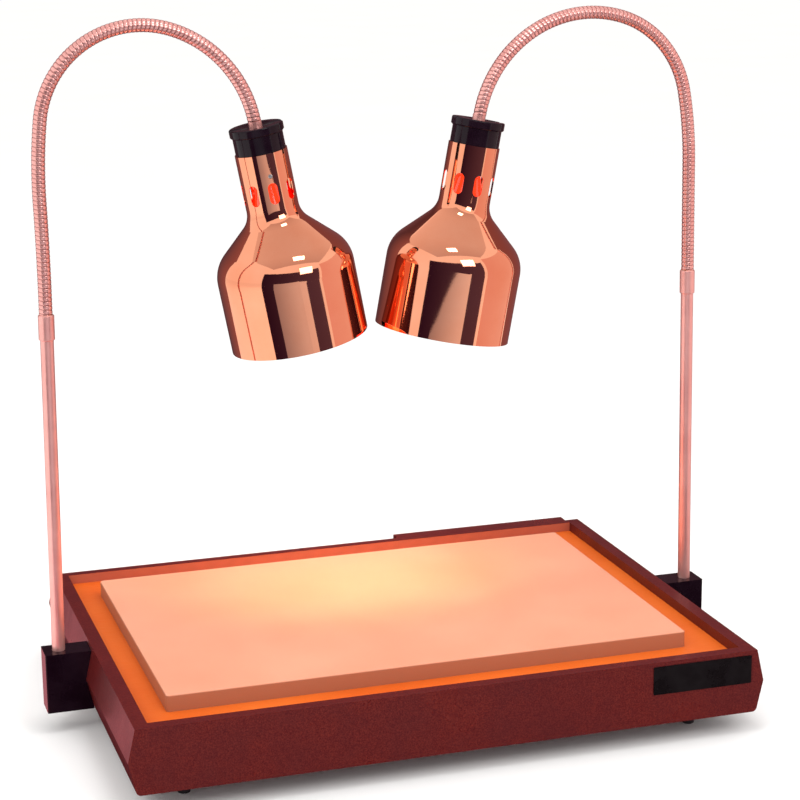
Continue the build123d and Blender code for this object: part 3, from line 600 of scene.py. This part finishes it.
def level_sheet(name, low, high, height, near, far):
    """Level sheet seen only in gloss, with one colour in front and one behind."""
    glossy_only(name, corners(low, high, height), [(0, 1, 2, 3)], near, far, [0.0, 0.0, 1.0, 1.0])


def studio():
    """Pale floor, soft lights, and what the polished copper reflects."""
    world = bpy.data.worlds.new("studio")
    bpy.context.scene.world = world
    world.use_nodes = True
    background = world.node_tree.nodes["Background"]
    background.inputs["Color"].default_value = (*SKY_COLOR, 1.0)
    background.inputs["Strength"].default_value = SKY_STRENGTH
    for light in LIGHTS:
        area_light(*light)
    for sheet in CARDS:
        card(*sheet)
    level_sheet("ceiling", (-CEILING_HALF, -CEILING_HALF), (CEILING_HALF, CEILING_HALF),
                CEILING_HEIGHT, *CEILING_COLORS)
    for name, (low, high, color) in (("front_mat", FRONT_MAT), ("side_mat", SIDE_MAT)):
        level_sheet(name, low, high, MAT_HEIGHT, color, color)
    mesh = bpy.data.meshes.new("floor")
    mesh.from_pydata(corners((-FLOOR_HALF, -FLOOR_HALF), (FLOOR_HALF, FLOOR_HALF), 0), [],
                     [(0, 1, 2, 3)])
    floor = bpy.data.objects.new("floor", mesh)
    bpy.context.scene.collection.objects.link(floor)
    material, tree, shader = new_material("floor", FLOOR_COLORS[0], 0.7, Specular_IOR_Level=0.0)
    finish_material(tree, shader, ramp(tree, noise(tree, 3), 0.3, 0.7, *FLOOR_COLORS))
    mesh.materials.append(material)


def camera():
    """Camera at its place, turned, dipped and rolled."""
    turn, dip, roll = CAMERA_TURN, CAMERA_DIP, CAMERA_ROLL
    ahead = Vector((math.sin(turn) * math.cos(dip), math.cos(turn) * math.cos(dip), -math.sin(dip)))
    level = Vector((math.cos(turn), -math.sin(turn), 0.0))
    upright = level.cross(ahead)
    right = math.cos(roll) * level + math.sin(roll) * upright
    up = math.cos(roll) * upright - math.sin(roll) * level
    data = bpy.data.cameras.new("camera")
    data.lens = CAMERA_LENS
    made = bpy.data.objects.new("camera", data)
    bpy.context.scene.collection.objects.link(made)
    turned = Matrix((right, up, -ahead)).transposed().to_4x4()
    made.matrix_world = Matrix.Translation(CAMERA_PLACE) @ turned
    bpy.context.scene.camera = made


# ---- dress the CAD parts ------------------------------------------------------------------------
def dress():
    """Give every CAD node the finished material of its slot."""
    by_slot = {
        "maroon_paint": hammer_paint("hammer_paint"),
        "tray_enamel": tray_enamel(),
        "board_plastic": board_plastic(),
        "arm_copper": satin_copper("drawn_copper", 0.34, 0.76),
        "black_moulding": moulding("phenolic", (0.0060, 0.0016, 0.0045), 0.13, 0.00001),
        "black_plastic": moulding("black_plastic", (0.0050, 0.0035, 0.0042), 0.28, 0.00004),
        "zinc_steel": plated("zinc_steel", (0.60, 0.60, 0.58), 0.32),
        "silicone": moulding("silicone", (0.45, 0.09, 0.04), 0.6, 0.00008),
        "foot_rubber": moulding("foot_rubber", (0.02, 0.018, 0.02), 0.55, 0.00008),
        "fibre": fibre(),
        "porcelain": moulding("porcelain", (0.80, 0.77, 0.70), 0.12, 0.00001),
        "bright_brass": plated("bright_brass", (0.82, 0.58, 0.24), 0.2),
        "base_aluminium": plated("base_aluminium", (0.76, 0.76, 0.76), 0.3),
        "lens_red": moulding("lens_red", (0.62, 0.03, 0.015), 0.08, 0.00001),
        "rocker_red": moulding("rocker_red", (0.35, 0.012, 0.008), 0.2, 0.00002),
    }
    for hand in HANDS:
        shade = polished_copper(f"{hand}_shade_copper", lamp_axis(hand))
        glass = bulb_glass(f"{hand}_ruby_glass", lamp_face(hand), lamp_axis(hand))
        by_slot[hand] = {"shade_copper": shade, "ruby_glass": glass}
    for part in frame["record"]["subparts"]:
        name, slot = part["node"], part["material_slot"]
        hand = name.split("_")[0]
        material = by_slot[hand][slot] if slot in ("shade_copper", "ruby_glass") else by_slot[slot]
        # the rear panel carries the painted reflection of the tray on its lip
        if name == "back_panel":
            material = hammer_paint("hammer_paint_rear_painted_reflection", painted_lip_reflection=True)
        mesh = NODES[name].data
        mesh.materials.clear()
        mesh.materials.append(material)


bpy.context.scene.view_settings.view_transform = "Standard"
camera()
dress()
goosenecks(satin_copper("ribbed_copper", 0.24, 0.78, shade_grooves=True))
for hand, power in LAMP_POWERS:
    lamp_light(hand, power)
studio()
